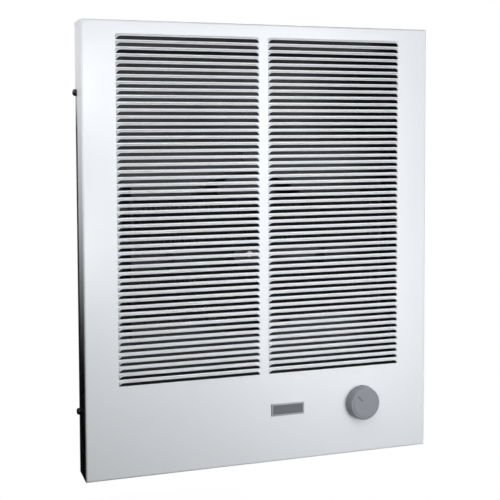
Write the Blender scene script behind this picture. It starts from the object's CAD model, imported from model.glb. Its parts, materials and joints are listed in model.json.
"""A recessed bathroom fan heater: the looks of its louvred cover, knob, screws, plate and inner pieces.

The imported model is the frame: the pieces take their places and outer sizes from it, in metres, with X to
the right, Y into the wall and Z up. The pieces that show and the finned elements are modelled finer than the
frame's, folded sheet inside gets rounded edges, and the other pieces keep their shape and get finishes.
"""

import json
import math

import bmesh
import bpy
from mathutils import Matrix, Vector

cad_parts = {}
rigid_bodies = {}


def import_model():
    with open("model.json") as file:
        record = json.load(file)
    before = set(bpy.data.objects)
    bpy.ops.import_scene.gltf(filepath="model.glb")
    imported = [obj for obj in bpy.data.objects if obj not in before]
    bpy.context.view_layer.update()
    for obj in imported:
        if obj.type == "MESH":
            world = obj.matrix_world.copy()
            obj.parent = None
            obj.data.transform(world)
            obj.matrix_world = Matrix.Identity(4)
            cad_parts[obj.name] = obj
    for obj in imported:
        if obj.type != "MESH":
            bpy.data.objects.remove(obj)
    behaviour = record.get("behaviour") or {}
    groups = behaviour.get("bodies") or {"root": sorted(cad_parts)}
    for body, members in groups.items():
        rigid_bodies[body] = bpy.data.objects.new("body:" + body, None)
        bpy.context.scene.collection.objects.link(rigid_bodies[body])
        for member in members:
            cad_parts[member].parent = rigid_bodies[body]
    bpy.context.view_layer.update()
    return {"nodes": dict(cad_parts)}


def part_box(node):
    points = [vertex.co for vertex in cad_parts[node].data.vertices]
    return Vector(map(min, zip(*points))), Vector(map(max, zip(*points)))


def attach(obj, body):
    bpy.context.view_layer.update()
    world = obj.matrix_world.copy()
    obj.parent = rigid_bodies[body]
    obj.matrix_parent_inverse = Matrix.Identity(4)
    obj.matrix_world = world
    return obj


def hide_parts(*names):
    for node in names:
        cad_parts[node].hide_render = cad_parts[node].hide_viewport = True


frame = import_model()

bl_info = {
    "name": "Recessed Wall Fan Heater",
    "version": (1, 0, 0),
    "blender": (4, 5, 0),
    "location": "View3D > Sidebar > Heater",
    "description": "Builds the pieces and finishes of a recessed bathroom fan heater round its frame",
    "category": "Add Mesh",
}

MM = 0.001
COVER_LOW, COVER_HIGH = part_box("front_cover")
KNOB_LOW, KNOB_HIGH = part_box("thermostat_knob")
KNOB_X = (KNOB_LOW.x + KNOB_HIGH.x) / 2
KNOB_Z = (KNOB_LOW.z + KNOB_HIGH.z) / 2
LOUVRE_PROUD = 3.0 * MM  # how far the frame's cover reaches in front of its flat face
MERGE = 0.01 * MM  # points closer than this are one point
CLOSE = 0.02 * MM  # slack round a place that is known well
LOOSE = 0.1 * MM  # slack round a place that has nothing else near it
REST_GAP = 0.3 * MM  # the frame's gap between pieces that bear on each other

# The grime along the rear edge of the cover's sides, in metres.
GRIME_DEPTH = 12.0 * MM
GRIME_BLUR = 1.0 * MM  # half the width over which its front edge fades
GRIME_TOP = 0.185
GRIME_FADE = 0.05
SIDE_SKIN = (3.0 * MM, 2.0 * MM)  # how far inside the cover's width it begins, and is whole

DIRT_EDGE = (0.1 * MM, 0.4 * MM)  # from the groove's end and the knob's face, where its dirt comes and goes


# ---------------- sizes and colours


def length(name, text, value):
    """A size in metres, with a value given in millimetres."""
    return bpy.props.FloatProperty(name=name, description=text, default=value * MM, unit="LENGTH")


def angle(name, text, value):
    """An angle in radians, with a value given in degrees."""
    return bpy.props.FloatProperty(name=name, description=text, default=math.radians(value), subtype="ANGLE")


def number(name, text, value):
    return bpy.props.IntProperty(name=name, description=text, default=value, min=1)


def colour(name, text, value):
    return bpy.props.FloatVectorProperty(name=name, description=text, default=value, subtype="COLOR", size=3,
                                         min=0.0, max=1.0)


class HeaterCoverSizes(bpy.types.PropertyGroup):
    """Sizes of the folded and pressed front cover."""

    sheet: length("Sheet", "Thickness of the steel sheet", 1.2)
    bend: length("Bend", "Outside radius from the front to the sides", 2.4)
    corner: length("Corner", "Radius at the four corners of the flat front", 0.8)
    reach: length("Louvre reach", "How far a lip stands out of the front", 2.95)
    opening: length("Louvre opening", "Height of the gap under a lip", 4.75)
    land: length("Land", "Flat strip between one gap and the next louvre", 0.9)
    pitch: length("Pitch", "Distance from one louvre to the next", 7.416)
    top_margin: length("Top margin", "From the top of the cover to the first louvre", 14.8)
    louvre_length: length("Louvre length", "Length of one louvre", 164.1)
    mullion: length("Mullion", "Plain strip between the two columns", 10.1)
    end_run: length("End run", "Length of the rounded end of a louvre", 5.8)
    rows: number("Rows", "Louvres in a column", 52)
    shaft_hole: length("Shaft hole", "Radius of the hole for the thermostat's shaft", 5.6)


class HeaterTrimSizes(bpy.types.PropertyGroup):
    """Sizes of the knob, the plate and the side screws."""

    knob_radius: length("Knob radius", "Radius at the back, over the flutes", 20.3)
    knob_face: length("Knob face", "Radius at the front", 19.5)
    knob_cap: length("Knob cap", "Radius of the flat middle of the knob's face", 14.6)
    knob_drop: length("Knob drop", "How far the knob's shoulder falls back round the cap", 4.2)
    knob_wall: length("Knob wall", "Thickness of the moulding", 1.6)
    flutes: number("Flutes", "Flutes round the knob", 16)
    flute_depth: length("Flute depth", "Depth of a flute", 0.3)
    pointer_start: length("Pointer start", "From the knob's axis to the pointer groove", 5.5)
    pointer_end: length("Pointer end", "From the knob's axis to the outer end of the groove", 13.9)
    pointer_width: length("Pointer width", "Width of the pointer groove", 1.9)
    pointer_depth: length("Pointer depth", "Depth of the pointer groove", 0.9)
    pointer_turn: angle("Pointer turn", "From the right, anticlockwise, to the pointer groove", 135.0)
    plate_border: length("Plate border", "Width of the raised border", 1.9)
    plate_recess: length("Plate recess", "How far the plate's field lies back", 0.25)
    screw_slack: length("Screw slack", "How far a dressed head stays inside the frame's", 0.12)
    screw_shank: length("Screw shank", "Radius of a side screw's shank", 1.95)
    screw_point: length("Screw point", "Radius at the tip of a side screw", 1.6)


class HeaterInnerSizes(bpy.types.PropertyGroup):
    """Sizes of the finned elements and of the folded sheet inside."""

    sheath: length("Sheath", "Radius of the element's sheath", 4.1)
    leg_spacing: length("Leg spacing", "Distance between the two legs of an element", 36.0)
    leg_end: length("Leg end", "From the middle to the end of a leg", 161.2)
    stud: length("Stud", "Radius of a terminal stud", 1.9)
    fin_span: length("Finned length", "Length of the finned stretch", 280.0)
    fin_height: length("Fin height", "Height of a fin", 57.5)
    fin_depth: length("Fin depth", "Depth of a fin", 29.6)
    fin_sheet: length("Fin sheet", "Thickness of a fin", 0.5)
    fin_corner: length("Fin corner", "Radius at the corners of a fin", 3.0)
    fins: number("Fins", "Fins on one element", 51)
    rounding: length("Rounding", "Radius along the edges of the folded sheet pieces", 0.3)


class HeaterColours(bpy.types.PropertyGroup):
    """Base colours of the finishes."""

    enamel: colour("Enamel", "Baked white enamel", (0.80, 0.825, 0.86))
    knob: colour("Knob", "Moulded grey plastic", (0.245, 0.262, 0.29))
    plate: colour("Plate", "Brushed metal plate", (0.33, 0.34, 0.36))
    plate_field: colour("Plate field", "Dark field of the plate", (0.125, 0.135, 0.15))
    black: colour("Black", "Black oxide", (0.012, 0.012, 0.014))
    paint: colour("Inner paint", "Satin black paint of the box and the deck", (0.022, 0.023, 0.025))
    zinc: colour("Zinc", "Galvanised sheet", (0.50, 0.53, 0.55))
    copper: colour("Copper", "Varnished copper wire", (0.50, 0.17, 0.06))
    element: colour("Element", "Dull sheath and fins", (0.05, 0.048, 0.046))
    fan: colour("Fan", "Stamped fan wheel", (0.07, 0.072, 0.075))
    steel: colour("Bright steel", "Shafts, bolts and nut", (0.55, 0.55, 0.56))
    iron: colour("Laminations", "Varnished stator and rotor", (0.16, 0.165, 0.175))
    bell: colour("Bells", "Die-cast ends of the motor", (0.16, 0.165, 0.17))
    bronze: colour("Bronze", "Bushes", (0.42, 0.27, 0.11))
    phenolic: colour("Phenolic", "Moulded switches", (0.03, 0.026, 0.024))
    rubber: colour("Rubber", "Grommets", (0.02, 0.02, 0.021))
    earth: colour("Earth", "Green earth screw", (0.03, 0.22, 0.07))
    ceramic: colour("Ceramic", "Insulators and terminal block", (0.72, 0.67, 0.57))
    speck: colour("Specks", "Dark specks in the ceramic", (0.42, 0.36, 0.28))
    sleeve_black: colour("Black sleeve", "Supply and motor leads", (0.03, 0.03, 0.033))
    sleeve_red: colour("Red sleeve", "Leads to the elements", (0.36, 0.03, 0.02))
    sleeve_white: colour("White sleeve", "Return lead", (0.62, 0.61, 0.57))
    grime: colour("Grime", "Dirt along the cover's rear edge", (0.03, 0.03, 0.032))
    groove: colour("Groove", "Dirt in the knob's pointer groove", (0.02, 0.02, 0.021))


# ---------------- finishes


class Socket:
    """A shader value that takes part in arithmetic."""

    def __init__(self, tree, output):
        self.tree = tree
        self.output = output

    def math(self, operation, first, second):
        node = self.tree.nodes.new("ShaderNodeMath")
        node.operation = operation
        for slot, value in zip(node.inputs, (first, second)):
            if isinstance(value, Socket):
                self.tree.links.new(value.output, slot)
            else:
                slot.default_value = value
        return Socket(self.tree, node.outputs[0])

    def __add__(self, other):
        return self.math("ADD", self, other)

    def __radd__(self, other):
        return self.math("ADD", other, self)

    def __sub__(self, other):
        return self.math("SUBTRACT", self, other)

    def __rsub__(self, other):
        return self.math("SUBTRACT", other, self)

    def __mul__(self, other):
        return self.math("MULTIPLY", self, other)

    def __rmul__(self, other):
        return self.math("MULTIPLY", other, self)


class Shading:
    """A node tree that is built up node by node."""

    def __init__(self, owner):
        owner.use_nodes = True
        self.tree = owner.node_tree
        self.tree.nodes.clear()

    def node(self, kind, output=0, settings=None, numbered=None, **inputs):
        """A node of that type: its settings first, then the values or links of its sockets.

        A socket goes by its name, with _ for a space, or by its number where a node's names repeat.
        """
        node = self.tree.nodes.new(kind)
        for key, value in (settings or {}).items():
            setattr(node, key, value)
        sockets = {key.replace("_", " "): value for key, value in inputs.items()}
        sockets.update(numbered or {})
        for key, value in sockets.items():
            if isinstance(value, Socket):
                self.tree.links.new(value.output, node.inputs[key])
            else:
                node.inputs[key].default_value = value
        return Socket(self.tree, node.outputs[output]) if node.outputs else None

    def split(self, vector):
        """The three parts of a vector."""
        return [self.node("ShaderNodeSeparateXYZ", axis, Vector=vector) for axis in "XYZ"]

    def rays(self, *kinds):
        """1 for each kind of ray where it is that kind, else 0."""
        return [self.node("ShaderNodeLightPath", f"Is {kind} Ray") for kind in kinds]

    def ramp(self, value, low, high, start=0.0, end=1.0):
        """value from low..high, mapped on start..end and held there."""
        return self.node("ShaderNodeMapRange", Value=value, From_Min=low, From_Max=high, To_Min=start,
                         To_Max=end)

    def between(self, factor, first, second):
        """A number that goes from the first to the second with the factor."""
        return self.node("ShaderNodeMix", numbered={0: factor, 2: first, 3: second})


class Finish(Shading):
    """A material that is built up node by node."""

    def __init__(self, name):
        self.material = bpy.data.materials.new(name)
        super().__init__(self.material)
        self.place = self.node("ShaderNodeTexCoord", "Object")

    def stretched(self, x, y, z):
        """The object's coordinates, scaled along each axis."""
        return self.node("ShaderNodeMapping", Vector=self.place, Scale=(x, y, z))

    def noise(self, scale, detail=2.0, place=None):
        return self.node("ShaderNodeTexNoise", Vector=place or self.place, Scale=scale, Detail=detail)

    def tint(self, colour, amount):
        """The colour made lighter or darker by an amount round 1."""
        return self.node("ShaderNodeVectorMath", settings={"operation": "SCALE"}, numbered={0: tuple(colour)},
                         Scale=amount)

    def mix(self, factor, first, second):
        """One colour laid over another by a factor."""
        ends = [value if isinstance(value, Socket) else (*value, 1.0) for value in (first, second)]
        return self.node("ShaderNodeMix", 2, {"data_type": "RGBA"}, {0: factor, 6: ends[0], 7: ends[1]})

    def bump(self, height, depth, strength):
        return self.node("ShaderNodeBump", Height=height, Distance=depth, Strength=strength)

    def shown(self, shader):
        """Ends the finish with a shader."""
        self.node("ShaderNodeOutputMaterial", Surface=shader)
        return self.material

    def done(self, **sockets):
        """Ends the finish with a Principled shader that has these sockets."""
        return self.shown(self.node("ShaderNodeBsdfPrincipled", **sockets))


def white_enamel(colour, dirt):
    """Baked enamel on steel: a faint orange peel, uneven gloss and grime along the rear edge of the sides."""
    finish = Finish("white_enamel")
    peel = finish.noise(900.0)
    cloud = finish.noise(9.0, 3.0)
    shade = 1.0 - (cloud - 0.5) * 0.02
    gloss = finish.ramp(finish.noise(18.0), 0.3, 0.7, 0.31, 0.35)
    x, y, z = finish.split(finish.place)
    ragged = y + (finish.noise(160.0, 3.0) - 0.5) * (2 * GRIME_BLUR)
    rear = finish.ramp(ragged, -GRIME_DEPTH - GRIME_BLUR, -GRIME_DEPTH + GRIME_BLUR)
    low = finish.ramp(z, GRIME_TOP - GRIME_FADE, GRIME_TOP, 1.0, 0.0)
    side = finish.ramp(x * x, *[(COVER_HIGH.x - depth) ** 2 for depth in SIDE_SKIN])
    grime = rear * low * side
    return finish.done(
        Base_Color=finish.mix(grime, finish.tint(colour, shade), dirt),
        Roughness=gloss + grime * 0.4,
        Normal=finish.bump(peel, depth=0.04 * MM, strength=0.6),
    )


def moulded_plastic(name, colour, grain, roughness):
    """Moulded plastic with a fine spark-eroded grain and an uneven sheen."""
    finish = Finish(name)
    fine = finish.noise(grain)
    cloud = finish.noise(60.0, 3.0)
    return finish.done(
        Base_Color=finish.tint(colour, 0.94 + cloud * 0.12),
        Roughness=finish.ramp(cloud, 0.35, 0.65, roughness - 0.06, roughness + 0.08),
        Normal=finish.bump(fine, depth=0.06 * MM, strength=0.7),
    )


def knob_plastic(colour, dirt, reach):
    """Moulded plastic as above, with dirt in the pointer groove, which ends at that reach."""
    finish = Finish("knob_plastic")
    cloud = finish.noise(60.0, 3.0)
    x, y, z = finish.split(finish.place)
    across, up = x - KNOB_X, z - KNOB_Z
    within = finish.ramp(across * across + up * up, *[(reach + edge) ** 2 for edge in DIRT_EDGE], 1.0, 0.0)
    filled = within * finish.ramp(y, *[KNOB_LOW.y + edge for edge in DIRT_EDGE], 0.0, 0.4)
    return finish.done(
        Base_Color=finish.mix(filled, finish.tint(colour, 0.94 + cloud * 0.12), dirt),
        Roughness=finish.ramp(cloud, 0.35, 0.65, 0.36, 0.5),
        Normal=finish.bump(finish.noise(1500.0), depth=0.06 * MM, strength=0.7),
    )


def brushed_metal(name, colour, along=(1.0, 60.0, 60.0), roughness=0.34, metallic=0.9):
    """Metal with fine straight scratches along one axis."""
    finish = Finish(name)
    strokes = finish.noise(60.0, 4.0, finish.stretched(*along))
    blotch = finish.noise(35.0)
    return finish.done(
        Base_Color=finish.tint(colour, 0.82 + strokes * 0.26 + blotch * 0.08),
        Metallic=metallic,
        Roughness=finish.ramp(strokes, 0.3, 0.7, roughness - 0.08, roughness + 0.14),
        Normal=finish.bump(strokes, depth=0.03 * MM, strength=0.5),
    )


def galvanised_sheet(colour):
    """Zinc-dipped sheet: crystals of slightly different grey and dull streaks."""
    finish = Finish("galvanised_sheet")
    warp = finish.noise(30.0)
    cell, patch = (
        finish.node("ShaderNodeSeparateColor",
                    Color=finish.node("ShaderNodeTexVoronoi", "Color", Vector=finish.place, Scale=scale))
        for scale in (110.0, 46.0)
    )
    streak = finish.noise(5.0, 3.0, finish.stretched(3.0, 3.0, 0.4))
    shade = 0.72 + cell * 0.16 + patch * 0.14 + warp * 0.08 - streak * 0.06
    return finish.done(
        Base_Color=finish.tint(colour, shade),
        Metallic=0.85,
        Roughness=finish.ramp(cell + patch, 0.2, 1.8, 0.34, 0.52),
        Normal=finish.bump(finish.noise(500.0), depth=0.02 * MM, strength=0.5),
    )


def black_paint(colour):
    """Satin black paint on steel: fine grain, a dusty bloom and uneven sheen."""
    finish = Finish("black_paint")
    grain = finish.noise(1300.0)
    bloom = finish.noise(14.0, 4.0)
    return finish.done(
        Base_Color=finish.tint(colour, 0.8 + bloom * 0.5),
        Roughness=finish.ramp(bloom, 0.35, 0.65, 0.42, 0.58),
        Normal=finish.bump(grain, depth=0.06 * MM, strength=0.7),
    )


def cast_metal(name, colour, roughness=0.5):
    """Die-cast or sintered metal with a pebbled skin."""
    finish = Finish(name)
    pebble = finish.noise(700.0, 3.0)
    cloud = finish.noise(45.0, 3.0)
    return finish.done(
        Base_Color=finish.tint(colour, 0.85 + cloud * 0.3),
        Metallic=0.8,
        Roughness=finish.ramp(pebble, 0.3, 0.7, roughness - 0.1, roughness + 0.1),
        Normal=finish.bump(pebble, depth=0.12 * MM, strength=0.6),
    )


def laminations(name, colour):
    """A stack of stamped laminations, seen as fine lines across the depth."""
    finish = Finish(name)
    lines = finish.node("ShaderNodeTexWave", settings={"bands_direction": "Y"}, Vector=finish.place,
                        Scale=320.0, Distortion=0.4)
    cloud = finish.noise(60.0, 3.0)
    return finish.done(
        Base_Color=finish.tint(colour, 0.6 + lines * 0.45 + cloud * 0.2),
        Metallic=0.6,
        Roughness=finish.ramp(cloud, 0.3, 0.7, 0.45, 0.62),
        Normal=finish.bump(lines, depth=0.1 * MM, strength=0.6),
    )


def wound_wire(colour):
    """Varnished copper wire, wound in neat turns."""
    finish = Finish("copper_wire")
    turns = finish.node("ShaderNodeTexWave", settings={"bands_direction": "DIAGONAL"}, Vector=finish.place,
                        Scale=420.0, Distortion=0.6)
    return finish.done(
        Base_Color=finish.tint(colour, 0.65 + turns * 0.5),
        Metallic=0.75,
        Roughness=finish.ramp(turns, 0.0, 1.0, 0.45, 0.3),
        Normal=finish.bump(turns, depth=0.3 * MM, strength=0.9),
    )


def braided_sleeve(name, colour):
    """Woven glass sleeving on a lead."""
    finish = Finish(name)
    weave = finish.node("ShaderNodeTexVoronoi", Vector=finish.place, Scale=1100.0)
    cloud = finish.noise(50.0)
    return finish.done(
        Base_Color=finish.tint(colour, 0.75 + weave * 0.5 + cloud * 0.1),
        Roughness=finish.ramp(weave, 0.0, 0.6, 0.55, 0.75),
        Normal=finish.bump(weave, depth=0.2 * MM, strength=0.8),
    )


def glazed_ceramic(colour, dark):
    """Cream ceramic with a thin glaze and a few dark specks."""
    finish = Finish("glazed_ceramic")
    speck = finish.ramp(finish.noise(1400.0, 1.0), 0.66, 0.74)
    cloud = finish.noise(80.0)
    return finish.done(
        Base_Color=finish.mix(speck, colour, dark),
        Roughness=finish.ramp(cloud, 0.3, 0.7, 0.25, 0.4),
        Normal=finish.bump(cloud, depth=0.1 * MM, strength=0.4),
    )


# ---------------- modelling helpers


def only(piece):
    """Selects one object and nothing else."""
    for other in bpy.context.scene.objects:
        other.select_set(False)
    piece.select_set(True)
    bpy.context.view_layer.objects.active = piece


def named(name):
    """The object that was just added, under its own name."""
    piece = bpy.context.object
    piece.name = name
    piece.data.name = name
    return piece


def settle(piece):
    """Puts the object's origin at the frame's, with its place in its mesh."""
    only(piece)
    bpy.ops.object.transform_apply(location=True, rotation=True, scale=True)


def choose(piece, kind, test, needed=True):
    """In edit mode, selects the vertices, edges or faces that pass the test, and says how many.

    Where some are needed and none passes, it stops with an error.
    """
    bpy.ops.mesh.select_mode(type=kind)
    bpy.ops.mesh.select_all(action="DESELECT")
    mesh = bmesh.from_edit_mesh(piece.data)
    parts = {"VERT": mesh.verts, "EDGE": mesh.edges, "FACE": mesh.faces}[kind]
    chosen = [part for part in parts if test(part)]
    for part in chosen:
        part.select_set(True)
    mesh.select_flush_mode()
    bmesh.update_edit_mesh(piece.data)
    if needed and not chosen:
        raise RuntimeError(f"{piece.name} has nothing to select where it should")
    return len(chosen)


def middle(part):
    return sum((v.co for v in part.verts), Vector()) / len(part.verts)


def near(a, b, slack=CLOSE):
    return abs(a - b) < slack


def editing(piece):
    only(piece)
    bpy.ops.object.mode_set(mode="EDIT")
    bpy.ops.mesh.select_all(action="SELECT")


def leave():
    bpy.ops.object.mode_set(mode="OBJECT")


def cut_across(axis, *places):
    """In edit mode, cuts everything by planes square to an axis."""
    normal = {"X": (1, 0, 0), "Y": (0, 1, 0), "Z": (0, 0, 1)}[axis]
    for place in places:
        bpy.ops.mesh.select_all(action="SELECT")
        bpy.ops.mesh.bisect(plane_co=tuple(place * part for part in normal), plane_no=normal)


def modify(piece, kind, **settings):
    """Adds a modifier and applies it."""
    only(piece)
    modifier = piece.modifiers.new(kind.lower(), kind)
    for key, value in settings.items():
        setattr(modifier, key, value)
    bpy.ops.object.modifier_apply(modifier=modifier.name)


def repeated(piece, count, step, **settings):
    """The piece and its copies, each a step from the one before."""
    modify(piece, "ARRAY", count=count, constant_offset_displace=step, use_relative_offset=False,
           use_constant_offset=True, **settings)


def carved(piece, tool):
    """Cuts a tool out of the piece and throws the tool away."""
    settle(tool)
    modify(piece, "BOOLEAN", operation="DIFFERENCE", object=tool, solver="EXACT")
    bpy.data.objects.remove(tool)


def smooth(piece, degrees):
    only(piece)
    bpy.ops.object.shade_smooth_by_angle(angle=math.radians(degrees), keep_sharp_edges=True)


def flat_faces_first(piece):
    """Lets the large faces set the shading, so that they stay flat beside rounded edges."""
    modify(piece, "WEIGHTED_NORMAL", mode="FACE_AREA", weight=50, keep_sharp=True)


def outwards(piece):
    """Turns every face of a closed piece outwards."""
    editing(piece)
    bpy.ops.mesh.remove_doubles(threshold=MERGE)
    bpy.ops.mesh.normals_make_consistent(inside=False)
    leave()


def finished(piece, material, body, slot, *nodes):
    """Gives a new piece its finish, its body and its slot, and hides the nodes that it stands for."""
    piece.data.materials.clear()
    piece.data.materials.append(material)
    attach(piece, body)
    if nodes:
        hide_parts(*nodes)


def join(first, *others):
    """Joins pieces into the first one."""
    only(first)
    for other in others:
        other.select_set(True)
    bpy.ops.object.join()
    return first


def turned(name, centre, axis, profile, segments):
    """A closed shape turned round an axis: circles at (radius, place along the axis), joined one to the next.

    A profile that ends where it starts makes a ring; any other one is closed by a face at each end.
    """
    turn = {"X": (0, math.pi / 2, 0), "Y": (-math.pi / 2, 0, 0), "Z": (0, 0, 0)}[axis]
    along = {"X": Vector((1, 0, 0)), "Y": Vector((0, 1, 0)), "Z": Vector((0, 0, 1))}[axis]
    flat = Vector((1, 1, 1)) - along
    start = Vector(centre)
    radius, place = profile[0]
    bpy.ops.mesh.primitive_circle_add(vertices=segments, radius=radius, location=start + along * place,
                                      rotation=turn)
    piece = named(name)
    settle(piece)
    editing(piece)
    bpy.ops.mesh.select_mode(type="EDGE")
    bpy.ops.mesh.select_all(action="SELECT")
    is_ring = profile[0] == profile[-1]
    if not is_ring:
        bpy.ops.mesh.edge_face_add()
    for next_radius, next_place in profile[1:]:
        move = {"value": tuple(along * (next_place - place))}
        if is_ring:
            bpy.ops.mesh.extrude_edges_move(TRANSFORM_OT_translate=move)
        else:
            bpy.ops.mesh.extrude_region_move(TRANSFORM_OT_translate=move)
        share = next_radius / radius
        scale = tuple(share if part else 1.0 for part in flat)
        bpy.ops.transform.resize(value=scale, center_override=tuple(start + along * next_place))
        radius, place = next_radius, next_place
    leave()
    outwards(piece)
    return piece


def slab(name, low, high):
    """A block between two corners."""
    low, high = Vector(low), Vector(high)
    bpy.ops.mesh.primitive_cube_add(size=1.0, location=(low + high) / 2)
    piece = named(name)
    piece.scale = high - low
    settle(piece)
    return piece


# ---------------- front cover


END_STEPS = 4  # cuts across the rounded end of a louvre
HOOD_ROWS = (0.16, 0.45, 0.75)  # cuts along a hood, as shares of its height from the top
HOOD_CURVE = 1.5  # how full the hood's section is
BEND_STEPS = 5


def louvre_tile(sizes, left, top, front):
    """One louvre and the land under it: a plane cut into strips, parted at the sill and drawn out."""
    width, pitch = sizes.louvre_length, sizes.pitch
    sill = top - (pitch - sizes.land)
    bpy.ops.mesh.primitive_plane_add(size=1.0, location=(left + width / 2, front, top - pitch / 2),
                                     rotation=(math.pi / 2, 0, 0))
    tile = named("front_cover_pressed")
    tile.scale = (width, pitch, 1.0)
    settle(tile)
    angles = [math.pi / 2 * i / END_STEPS for i in range(1, END_STEPS + 1)]
    runs = [sizes.end_run * (1 - math.cos(angle)) for angle in angles]
    editing(tile)
    cut_across("X", *[left + run for run in runs], *[left + width - run for run in runs])
    cut_across("Z", sill, *[top - (top - sill) * row for row in HOOD_ROWS])
    choose(tile, "EDGE", lambda e: all(near(v.co.z, sill) for v in e.verts))
    bpy.ops.mesh.edge_split(type="EDGE")
    for angle, run in zip(angles, runs):
        for row in (*HOOD_ROWS, 1.0):
            height = top - (top - sill) * row

            def on_hood(vertex):
                in_row = near(vertex.co.y, front) and near(vertex.co.z, height)
                at_end = near(vertex.co.x, left + run) or near(vertex.co.x, left + width - run)
                return in_row and at_end and any(middle(face).z > sill for face in vertex.link_faces)

            choose(tile, "VERT", on_hood)
            rise = math.sin(angle)
            outward = sizes.reach * rise * (1 - (1 - row) ** HOOD_CURVE)
            bpy.ops.transform.translate(value=(0, -outward, sizes.opening * rise * row))
    leave()
    return tile


def pressed_front(sizes):
    """The flat front with two columns of louvres, a shaft hole and its outline, before the sides are bent."""
    front = COVER_LOW.y + LOUVRE_PROUD
    top = COVER_HIGH.z - sizes.top_margin
    left = -sizes.mullion / 2 - sizes.louvre_length
    piece = louvre_tile(sizes, left, top, front)
    repeated(piece, sizes.rows, (0, 0, -sizes.pitch), use_merge_vertices=True, merge_threshold=MERGE)
    repeated(piece, 2, (sizes.louvre_length + sizes.mullion, 0, 0))
    editing(piece)
    bpy.ops.mesh.remove_doubles(threshold=MERGE)
    width = COVER_HIGH.x - COVER_LOW.x - 2 * sizes.bend
    height = COVER_HIGH.z - COVER_LOW.z - 2 * sizes.bend
    bpy.ops.mesh.select_all(action="DESELECT")
    bpy.ops.mesh.primitive_plane_add(size=1.0, location=(0, front, 0), rotation=(math.pi / 2, 0, 0))
    bpy.ops.transform.resize(value=(width, 1.0, height), center_override=(0, front, 0))
    bpy.ops.mesh.bevel(offset=sizes.corner, segments=4, affect="VERTICES")
    bpy.ops.mesh.delete(type="ONLY_FACE")
    bpy.ops.mesh.primitive_circle_add(vertices=32, radius=sizes.shaft_hole, location=(KNOB_X, front, KNOB_Z),
                                      rotation=(math.pi / 2, 0, 0))
    choose(piece, "EDGE", lambda e: len(e.link_faces) < 2 and all(near(v.co.y, front) for v in e.verts)
           and not is_sill(e, sizes, top))
    bpy.ops.mesh.fill(use_beauty=False)
    leave()
    return piece, front, width, height


def is_sill(edge, sizes, top):
    """True for the front edge of an opening, which stays open."""
    a, b = (v.co for v in edge.verts)
    if not near(a.z, b.z) or not len(edge.link_faces) == 1:
        return False
    steps = (top - a.z + sizes.land) / sizes.pitch
    return near((steps - round(steps)) * sizes.pitch, 0.0, LOOSE) and round(steps) >= 1


def front_cover(sizes, material):
    """The pressed front, bent round its outline into the four sides and given its thickness."""
    piece, front, width, height = pressed_front(sizes)
    editing(piece)
    edge_x, edge_z = width / 2, height / 2

    def outline(edge):
        if len(edge.link_faces) != 1:
            return False
        spot = middle(edge)
        return abs(spot.x) > edge_x - sizes.corner or abs(spot.z) > edge_z - sizes.corner

    choose(piece, "EDGE", outline)
    grown, gone = 0.0, 0.0
    for i in range(1, BEND_STEPS + 1):
        turn = math.pi / 2 * i / BEND_STEPS
        out, back = sizes.bend * math.sin(turn), sizes.bend * (1 - math.cos(turn))
        bpy.ops.mesh.extrude_edges_move(TRANSFORM_OT_translate={"value": (0, back - gone, 0)})
        wider = (edge_x + out) / (edge_x + grown)
        taller = (edge_z + out) / (edge_z + grown)
        bpy.ops.transform.resize(value=(wider, 1.0, taller), center_override=(0, front, 0))
        grown, gone = out, back
    side = COVER_HIGH.y - front - sizes.bend
    bpy.ops.mesh.extrude_edges_move(TRANSFORM_OT_translate={"value": (0, side, 0)})
    bpy.ops.mesh.select_all(action="SELECT")
    bpy.ops.mesh.normals_make_consistent(inside=False)
    if choose(piece, "FACE", lambda f: near(middle(f).y, front) and f.normal.y > 0.5, needed=False):
        bpy.ops.mesh.select_all(action="SELECT")
        bpy.ops.mesh.flip_normals()
    leave()
    modify(piece, "SOLIDIFY", thickness=sizes.sheet, offset=-1.0, use_even_offset=False)
    smooth(piece, 30.0)
    flat_faces_first(piece)
    finished(piece, material, "heater", "white_enamel", "front_cover")


# ---------------- knob, plate and screws


SHOULDER_TURNS = (0, 20, 40, 58)  # degrees round the knob's shoulder
FLUTE_STEPS = 8  # faces from one flute to the next
KNOB_EDGE = 0.3 * MM  # broken edge at the knob's back
SOCKET_WALL = 2.7 * MM
SOCKET_INSET = 1.0 * MM  # how far the socket ends inside the knob


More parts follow.
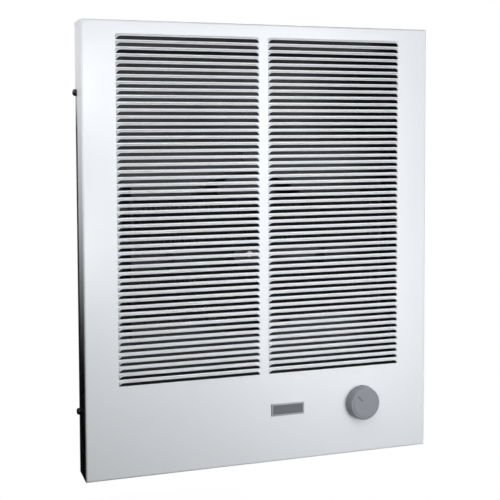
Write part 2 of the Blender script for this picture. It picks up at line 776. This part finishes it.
def knob(sizes, material):
    """A short tapered moulding with flutes round it, a pointer groove and a socket for the shaft."""
    back, front = KNOB_HIGH.y, KNOB_LOW.y
    r, face = sizes.knob_radius, sizes.knob_face
    cap, shoulder = sizes.knob_cap, face - sizes.knob_cap
    profile = [(r - KNOB_EDGE / 2, back), (r, back - KNOB_EDGE)]
    for degrees in SHOULDER_TURNS:
        turn = math.radians(degrees)
        profile.append((cap + shoulder * math.cos(turn), front + sizes.knob_drop * (1 - math.sin(turn))))
    spread, rise, lip, flat = 0.5 * MM, 0.6 * MM, 0.2 * MM, 6 * MM
    profile += [(cap + spread, front + rise), (cap - lip, front), (cap - flat, front)]
    segments = FLUTE_STEPS * sizes.flutes
    fluted_from = face - LOOSE
    piece = turned("knob_moulding", (KNOB_X, 0, KNOB_Z), "Y", profile, segments)
    editing(piece)
    centre = Vector((KNOB_X, 0, KNOB_Z))
    for part in range(1, FLUTE_STEPS):

        def in_flute(vertex):
            x, z = vertex.co.x - centre.x, vertex.co.z - centre.z
            turn = round(math.atan2(z, x) / (2 * math.pi / segments)) % FLUTE_STEPS
            return turn == part and math.hypot(x, z) > fluted_from

        choose(piece, "VERT", in_flute)
        share = (0.5 - 0.5 * math.cos(2 * math.pi * part / FLUTE_STEPS)) ** 2
        drawn = 1 - share * sizes.flute_depth / r
        bpy.ops.transform.resize(value=(drawn, 1.0, drawn), center_override=tuple(centre))
    leave()
    half = sizes.pointer_width / 2
    groove = slab("groove", (sizes.pointer_start, front - 1 * MM, -half),
                  (sizes.pointer_end, front + sizes.pointer_depth, half))
    groove.rotation_euler = (0, -sizes.pointer_turn, 0)
    groove.location = (KNOB_X, 0, KNOB_Z)
    carved(piece, groove)
    editing(piece)
    choose(piece, "FACE", lambda f: near(middle(f).y, back, LOOSE) and f.normal.y > 0.9)
    bpy.ops.mesh.delete(type="FACE")
    leave()
    modify(piece, "SOLIDIFY", thickness=sizes.knob_wall, offset=-1.0, use_even_offset=False)
    shaft_low, shaft_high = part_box("thermostat_shaft")
    bore = (shaft_high.x - shaft_low.x) / 2 + REST_GAP
    inside = front + sizes.knob_wall
    outer = bore + SOCKET_WALL
    rear = back - SOCKET_INSET
    socket = turned("socket", (KNOB_X, 0, KNOB_Z), "Y",
                    [(outer, rear), (outer, inside), (bore, inside), (bore, rear), (outer, rear)], 32)
    join(piece, socket)
    smooth(piece, 28.0)
    finished(piece, material, "knob", "knob_grey", "thermostat_knob")


PLATE_LIFT = 0.02 * MM  # how far the plate's back is off the cover's face
PLATE_CORNER = 0.5 * MM
PLATE_EDGE = 0.2 * MM


def bare_plate(sizes, metal, field):
    """The plate under the louvres, with a raised border round a plain dark field."""
    low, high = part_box("badge_plate")
    x, z = (low.x + high.x) / 2, (low.z + high.z) / 2
    half_w, half_h = (high.x - low.x) / 2, (high.z - low.z) / 2
    front, back = low.y, COVER_LOW.y + LOUVRE_PROUD - PLATE_LIFT
    piece = slab("bare_plate", (low.x, front, low.z), (high.x, back, high.z))
    editing(piece)
    choose(piece, "FACE", lambda f: f.normal.y < -0.9)
    bpy.ops.mesh.inset(thickness=sizes.plate_border)
    bpy.ops.mesh.inset(thickness=sizes.plate_recess, depth=-sizes.plate_recess)
    choose(piece, "EDGE", lambda e: near(abs(middle(e).x - x), half_w) and near(abs(middle(e).z - z), half_h))
    bpy.ops.mesh.bevel(offset=PLATE_CORNER, segments=3)
    choose(piece, "EDGE", lambda e: near(middle(e).y, front)
           and any(abs(f.normal.y) < 0.2 for f in e.link_faces))
    bpy.ops.mesh.bevel(offset=PLATE_EDGE, segments=2)
    leave()
    smooth(piece, 35.0)
    finished(piece, metal, "heater", "zinc_steel", "badge_plate")
    piece.data.materials.append(field)
    border = sizes.plate_border + LOOSE
    for face in piece.data.polygons:
        inner = abs(face.center.x - x) < half_w - border and abs(face.center.z - z) < half_h - border
        if inner and face.center.y < front + 2 * sizes.plate_recess:
            face.material_index = 1


SCREW_TAPER = 1.0 * MM  # length over which a screw's tip narrows
# The head's outline, as shares of its radius and its height.
SCREW_HEAD = ((1.0, 0.0), (1.0, 0.3), (0.96, 0.55), (0.84, 0.8), (0.62, 0.94), (0.3, 0.998))
RECESS = Vector((2.0, 0.45, 1.9)) * MM  # half a bar of the cross recess: its depth, width and length


def side_screws(sizes, material):
    """Pan-head screws with a cross recess, one for each node of the frame."""
    for side in ("left", "right"):
        for level in ("upper", "lower"):
            node = f"cover_screw_{level}_{side}"
            low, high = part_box(node)
            centre = (0, (low.y + high.y) / 2, (low.z + high.z) / 2)
            sign = -1 if side == "left" else 1
            point, top = sorted((abs(low.x), abs(high.x)))
            seat = COVER_HIGH.x + REST_GAP
            r = (high.z - low.z) / 2 - sizes.screw_slack
            profile = [(sizes.screw_point, sign * point), (sizes.screw_shank, sign * (point + SCREW_TAPER)),
                       (sizes.screw_shank, sign * seat)]
            profile += [(r * wide, sign * (seat + tall * (top - seat))) for wide, tall in SCREW_HEAD]
            piece = turned(f"{node}_dressed", centre, "X", profile, 28)
            for turn in (0.0, math.pi / 2):
                tool = slab("recess", -RECESS, RECESS)
                tool.rotation_euler = (turn, 0, 0)
                tool.location = (sign * top, centre[1], centre[2])
                carved(piece, tool)
            smooth(piece, 35.0)
            finished(piece, material, "heater", "black_screw", node)


# ---------------- finned elements


def finned_element(sizes, node, material):
    """A sheathed hairpin with thin plate fins and a terminal stud on each leg."""
    low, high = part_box(node)
    y = (low.y + high.y) / 2
    z = (low.z + high.z) / 2
    half = sizes.leg_spacing / 2
    bpy.ops.mesh.primitive_circle_add(vertices=20, radius=sizes.sheath, location=(sizes.leg_end, y, z + half),
                                      rotation=(0, math.pi / 2, 0))
    piece = named(f"{node}_dressed")
    settle(piece)
    editing(piece)
    bpy.ops.mesh.select_mode(type="EDGE")
    bpy.ops.mesh.select_all(action="SELECT")
    bpy.ops.mesh.spin(steps=14, angle=math.pi, center=(sizes.leg_end, y, z), axis=(0, 1, 0))
    choose(piece, "EDGE", lambda e: len(e.link_faces) < 2)
    bpy.ops.mesh.extrude_edges_move(TRANSFORM_OT_translate={"value": (-2 * sizes.leg_end, 0, 0)})
    for rise in (half, -half):
        choose(piece, "EDGE", lambda e: len(e.link_faces) < 2 and (middle(e).z - z) * rise > 0)
        bpy.ops.mesh.edge_face_add()
        bpy.ops.mesh.inset(thickness=sizes.sheath - sizes.stud)
        bpy.ops.mesh.extrude_region_move(TRANSFORM_OT_translate={"value": (low.x + sizes.leg_end, 0, 0)})
    leave()
    outwards(piece)
    step = sizes.fin_span / (sizes.fins - 1)
    start = -sizes.fin_span / 2
    fin = slab("fin", (start - sizes.fin_sheet / 2, y - sizes.fin_depth / 2, z - sizes.fin_height / 2),
               (start + sizes.fin_sheet / 2, y + sizes.fin_depth / 2, z + sizes.fin_height / 2))
    editing(fin)
    choose(fin, "EDGE", lambda e: not near(e.verts[0].co.x, e.verts[1].co.x, LOOSE))
    bpy.ops.mesh.bevel(offset=sizes.fin_corner, segments=3)
    leave()
    repeated(fin, sizes.fins, (step, 0, 0))
    join(piece, fin)
    smooth(piece, 40.0)
    finished(piece, material, "heater", "element_metal", node)


# ---------------- finishes of the frame's own nodes


def dress(material, *names):
    """Gives nodes of the frame a finish."""
    for name in names:
        node = frame["nodes"][name]
        if not node.material_slots:
            node.data.materials.append(material)
        for slot in node.material_slots:
            slot.material = material


def softened(name, material, slot, radius):
    """A copy of a folded sheet node with its edges rounded, in place of the node."""
    mesh = frame["nodes"][name].data.copy()
    piece = bpy.data.objects.new(f"{name}_softened", mesh)
    bpy.context.scene.collection.objects.link(piece)
    editing(piece)
    bpy.ops.mesh.remove_doubles(threshold=MERGE)
    bpy.ops.mesh.dissolve_limited(angle_limit=math.radians(1.0))
    leave()
    modify(piece, "BEVEL", width=radius, segments=2, limit_method="ANGLE", angle_limit=math.radians(40.0),
           use_clamp_overlap=True, miter_outer="MITER_ARC")
    smooth(piece, 30.0)
    flat_faces_first(piece)
    finished(piece, material, "heater", slot, name)


def starting(word):
    """The frame's nodes whose names start with a word."""
    names = [name for name in sorted(frame["nodes"]) if name.startswith(word)]
    if not names:
        raise RuntimeError(f"the frame has no node that starts with {word}")
    return names


# ---------------- stage


# The camera, in metres, radians and pixels of a picture of 500 by 500.
PHOTO_SIDE = 500.0
FOCAL_PIXELS = 992.94
CAMERA_PLACE = Vector((-0.37673, -1.10339, 0.12908))
CAMERA_YAW = 0.32649
CAMERA_PITCH = 0.05484
CAMERA_ROLL = 0.00364
AXIS_ROW = 187.5  # where the camera's axis meets the picture, from its top
SENSOR = 36.0
CAMERA_REACH = 50.0

# Each softbox: name, place, the point it faces, width and height in metres, and power in watts.
SOFTBOXES = (
    ("left", (-0.17, -0.35, 0.2), (-0.17, 0.0, 0.2), 0.07, 0.12, 0.34),
    ("key", (-0.17, -0.5, -0.05), (-0.17, 0.0, -0.05), 0.07, 0.12, 0.6),
    ("low", (0.3, -0.5, -0.2), (0.3, 0.0, -0.2), 0.3, 0.3, 0.9),
    ("broad", (0.3, -1.0, 0.25), (0.1, 0.0, 0.2), 0.8, 0.7, 3.95),
    ("right", (0.25, -0.5, 0.3), (0.2, 0.0, 0.2), 0.3, 0.3, 0.6),
    ("rear", (0.55, 1.3, 0.6), (0.0, 0.0, 0.0), 0.8, 0.8, 8.0),
)
# Each spot: name, place, the point it faces, cone in degrees and power in watts.
SPOTS = (
    ("edge", (-1.1, 0.05, 0.75), (-0.2065, -0.02, 0.15), 19.5, 48.0),
    ("upper", (-0.08, -0.5, 0.66), (0.08, 0.0, -0.07), 30.0, 4.8),
)
SPOT_RADIUS = 0.05

# The world, by the direction of a ray from -1 to 1 along X and Z.
AMBIENT = 0.22  # its light from the right, which falls to nothing at the middle
MIRROR_RISE = (-0.02, 0.1)  # Z over which polished faces begin to see it
MIRROR_FLAG = (-0.6, -0.25)  # X over which they do, with the far left flagged off

FLOOR_HEIGHT = -0.62
FLOOR_RADIUS = 0.9
FLOOR_FLAG = (-0.1, 0.1)  # X over which polished faces begin to see the floor
FLOOR_GREY = 0.16  # how strongly the floor shows light and shadow
FLOOR_GLOW = 0.93  # what it adds of its own, so that it looks white
FLOOR_DULL = 0.02  # how little light it throws back on the heater


def grey(level):
    return (level, level, level, 1.0)


def camera():
    data = bpy.data.cameras.new("camera")
    data.sensor_width = SENSOR
    data.lens = SENSOR * FOCAL_PIXELS / PHOTO_SIDE
    data.shift_y = (AXIS_ROW - PHOTO_SIDE / 2) / PHOTO_SIDE
    data.clip_end = CAMERA_REACH
    eye = bpy.data.objects.new("camera", data)
    eye.location = CAMERA_PLACE
    eye.rotation_euler = (math.pi / 2 - CAMERA_PITCH, CAMERA_ROLL, -CAMERA_YAW)
    bpy.context.scene.collection.objects.link(eye)
    bpy.context.scene.camera = eye


def lamp(name, kind, place, target, power, **settings):
    """A lamp that faces a point and isn't seen itself."""
    data = bpy.data.lights.new(name, kind)
    data.energy = power
    for key, value in settings.items():
        setattr(data, key, value)
    light = bpy.data.objects.new(name, data)
    light.location = place
    light.rotation_euler = (Vector(target) - Vector(place)).to_track_quat("-Z", "Y").to_euler()
    light.visible_camera = False
    bpy.context.scene.collection.objects.link(light)


def lamps():
    for name, place, target, width, height, power in SOFTBOXES:
        lamp(name, "AREA", place, target, power, shape="RECTANGLE", size=width, size_y=height)
    for name, place, target, cone, power in SPOTS:
        lamp(name, "SPOT", place, target, power, spot_size=math.radians(cone), spot_blend=1.0,
             shadow_soft_size=SPOT_RADIUS)


def pale_world():
    """White to the camera and to glass, and dim as a light.

    Polished faces see it white too, but for the bottom and the far left, which are flagged off.
    """
    world = bpy.data.worlds.new("studio")
    bpy.context.scene.world = world
    sky = Shading(world)
    across, _, up = sky.split(sky.node("ShaderNodeTexCoord", "Generated"))
    seen, mirrored, glass = sky.rays("Camera", "Glossy", "Transmission")
    light = sky.ramp(across, 0.0, 1.0, 0.0, AMBIENT)
    mirror = sky.ramp(up, *MIRROR_RISE) * sky.ramp(across, *MIRROR_FLAG)
    strength = sky.between(seen + glass, sky.between(mirrored, light, mirror), 1.0)
    back = sky.node("ShaderNodeBackground", Color=grey(1.0), Strength=strength)
    sky.node("ShaderNodeOutputWorld", Surface=back)


def pale_floor():
    """A floor that looks white to the camera, to glass and to polished faces, and keeps the shadow on it.

    It throws hardly any light back, and its left half is flagged off from polished faces.
    """
    bpy.ops.mesh.primitive_circle_add(vertices=96, radius=FLOOR_RADIUS, fill_type="NGON",
                                      location=(0, 0, FLOOR_HEIGHT))
    floor = named("floor")
    paper = Finish("floor_paper")
    matte = paper.node("ShaderNodeBsdfDiffuse", Color=grey(FLOOR_GREY))
    glow = paper.node("ShaderNodeEmission", Color=grey(1.0), Strength=FLOOR_GLOW)
    pale = paper.node("ShaderNodeAddShader", numbered={0: matte, 1: glow})
    dull = paper.node("ShaderNodeBsdfDiffuse", Color=grey(FLOOR_DULL))
    across = paper.split(paper.place)[0]
    seen, mirrored, glass = paper.rays("Camera", "Glossy", "Transmission")
    share = seen + mirrored * paper.ramp(across, *FLOOR_FLAG) + glass
    both = paper.node("ShaderNodeMixShader", numbered={0: share, 1: dull, 2: pale})
    floor.data.materials.append(paper.shown(both))


# ---------------- operators


class HeaterOperator:
    """What every operator of the heater has in common."""

    bl_options = {"REGISTER", "UNDO"}


class HEATER_OT_stage(HeaterOperator, bpy.types.Operator):
    """Sets up the camera, the lamps, the world and the floor"""

    bl_idname = "heater.stage"
    bl_label = "Stage"

    def execute(self, context):
        camera()
        pale_world()
        pale_floor()
        lamps()
        context.scene.view_settings.view_transform = "Standard"
        return {"FINISHED"}


class HEATER_OT_front_cover(HeaterOperator, bpy.types.Operator):
    """Models the folded steel cover with its two columns of pressed louvres"""

    bl_idname = "heater.front_cover"
    bl_label = "Front cover"

    def execute(self, context):
        tones = context.scene.heater_colours
        front_cover(context.scene.heater_cover, white_enamel(tones.enamel, tones.grime))
        return {"FINISHED"}


class HEATER_OT_knob(HeaterOperator, bpy.types.Operator):
    """Models the fluted thermostat knob"""

    bl_idname = "heater.knob"
    bl_label = "Thermostat knob"

    def execute(self, context):
        sizes, tones = context.scene.heater_trim, context.scene.heater_colours
        knob(sizes, knob_plastic(tones.knob, tones.groove, sizes.pointer_end))
        return {"FINISHED"}


class HEATER_OT_bare_plate(HeaterOperator, bpy.types.Operator):
    """Models the small bare plate under the louvres"""

    bl_idname = "heater.bare_plate"
    bl_label = "Bare plate"

    def execute(self, context):
        tones = context.scene.heater_colours
        metal = brushed_metal("plate_metal", tones.plate, metallic=0.35)
        field = brushed_metal("plate_field", tones.plate_field, metallic=0.3, roughness=0.45)
        bare_plate(context.scene.heater_trim, metal, field)
        return {"FINISHED"}


class HEATER_OT_side_screws(HeaterOperator, bpy.types.Operator):
    """Models the four black screws in the sides of the cover"""

    bl_idname = "heater.side_screws"
    bl_label = "Side screws"

    def execute(self, context):
        black = moulded_plastic("black_oxide", context.scene.heater_colours.black, 2400.0, 0.36)
        side_screws(context.scene.heater_trim, black)
        return {"FINISHED"}


class HEATER_OT_elements(HeaterOperator, bpy.types.Operator):
    """Models the two finned heating elements"""

    bl_idname = "heater.elements"
    bl_label = "Heating elements"

    def execute(self, context):
        tone = context.scene.heater_colours.element
        metal = brushed_metal("element_metal", tone, (60.0, 60.0, 1.0), 0.55, 0.5)
        for node in starting("heating_element"):
            finned_element(context.scene.heater_inner, node, metal)
        return {"FINISHED"}


class HEATER_OT_sheet_metal(HeaterOperator, bpy.types.Operator):
    """Finishes the wall box, the fan deck and the brackets"""

    bl_idname = "heater.sheet_metal"
    bl_label = "Box, deck and brackets"

    def execute(self, context):
        rounding, tones = context.scene.heater_inner.rounding, context.scene.heater_colours
        zinc = galvanised_sheet(tones.zinc)
        paint = black_paint(tones.paint)
        softened("wiring_cover", zinc, "galvanised_steel", rounding)
        for name in ("wall_box", "fan_deck", "control_bracket", "motor_strap", *starting("element_bracket")):
            softened(name, paint, "black_paint", rounding)
        dress(paint, *starting("deck_screw"), *starting("strap_screw"))
        return {"FINISHED"}


class HEATER_OT_fan_and_motor(HeaterOperator, bpy.types.Operator):
    """Finishes the fan wheel and the pieces of the motor"""

    bl_idname = "heater.fan_and_motor"
    bl_label = "Fan and motor"

    def execute(self, context):
        tones = context.scene.heater_colours
        dress(brushed_metal("fan_metal", tones.fan, (20.0, 20.0, 20.0), 0.5, 0.5), "fan_wheel")
        dress(brushed_metal("bright_steel", tones.steel, (60.0, 2.0, 60.0), 0.28), "motor_shaft",
              "thermostat_shaft", "thermostat_nut", *starting("motor_bolt"))
        dress(laminations("motor_laminations", tones.iron), "motor_stator", "motor_rotor")
        dress(wound_wire(tones.copper), *starting("motor_coil"))
        dress(cast_metal("cast_bell", tones.bell), "motor_front_bell", "motor_rear_bell")
        dress(cast_metal("bush_bronze", tones.bronze, 0.42), "motor_front_bush", "motor_rear_bush")
        return {"FINISHED"}


class HEATER_OT_wiring(HeaterOperator, bpy.types.Operator):
    """Finishes the switches, the terminal block, the grommets and the leads"""

    bl_idname = "heater.wiring"
    bl_label = "Switches and wiring"

    def execute(self, context):
        tones = context.scene.heater_colours
        dress(moulded_plastic("phenolic", tones.phenolic, 900.0, 0.45), "overheat_cutout", "fan_delay_switch",
              "thermostat_body")
        dress(glazed_ceramic(tones.ceramic, tones.speck), "terminal_block", *starting("element_insulator"))
        dress(moulded_plastic("black_rubber", tones.rubber, 1200.0, 0.6), *starting("lead_grommet"))
        dress(moulded_plastic("green_paint", tones.earth, 1800.0, 0.38), "earth_screw")
        dress(braided_sleeve("black_sleeve", tones.sleeve_black), "lead_supply", "lead_to_motor")
        dress(braided_sleeve("red_sleeve", tones.sleeve_red), "lead_to_cutout", "lead_to_elements",
              "lead_between_elements")
        dress(braided_sleeve("white_sleeve", tones.sleeve_white), "lead_return")
        return {"FINISHED"}


class HEATER_PT_panel(bpy.types.Panel):
    """Lists the steps that build the heater"""

    bl_idname = "HEATER_PT_panel"
    bl_label = "Wall Fan Heater"
    bl_space_type = "VIEW_3D"
    bl_region_type = "UI"
    bl_category = "Heater"

    def draw(self, context):
        for step in STEPS:
            self.layout.operator(step.bl_idname)
        for group in GROUPS:
            box = self.layout.box()
            settings = getattr(context.scene, group)
            for key in settings.__annotations__:
                box.prop(settings, key)


STEPS = (
    HEATER_OT_stage,
    HEATER_OT_front_cover,
    HEATER_OT_knob,
    HEATER_OT_bare_plate,
    HEATER_OT_side_screws,
    HEATER_OT_elements,
    HEATER_OT_sheet_metal,
    HEATER_OT_fan_and_motor,
    HEATER_OT_wiring,
)
GROUPS = {
    "heater_cover": HeaterCoverSizes,
    "heater_trim": HeaterTrimSizes,
    "heater_inner": HeaterInnerSizes,
    "heater_colours": HeaterColours,
}


def register():
    for group in GROUPS.values():
        bpy.utils.register_class(group)
    for step in STEPS:
        bpy.utils.register_class(step)
    bpy.utils.register_class(HEATER_PT_panel)
    for name, group in GROUPS.items():
        setattr(bpy.types.Scene, name, bpy.props.PointerProperty(type=group))


def unregister():
    for name in GROUPS:
        delattr(bpy.types.Scene, name)
    bpy.utils.unregister_class(HEATER_PT_panel)
    for step in reversed(STEPS):
        bpy.utils.unregister_class(step)
    for group in reversed(list(GROUPS.values())):
        bpy.utils.unregister_class(group)


def main():
    """Builds the whole heater in its order."""
    register()
    bpy.ops.heater.stage()
    bpy.ops.heater.front_cover()
    bpy.ops.heater.knob()
    bpy.ops.heater.bare_plate()
    bpy.ops.heater.side_screws()
    bpy.ops.heater.elements()
    bpy.ops.heater.sheet_metal()
    bpy.ops.heater.fan_and_motor()
    bpy.ops.heater.wiring()


if __name__ == "__main__":
    main()
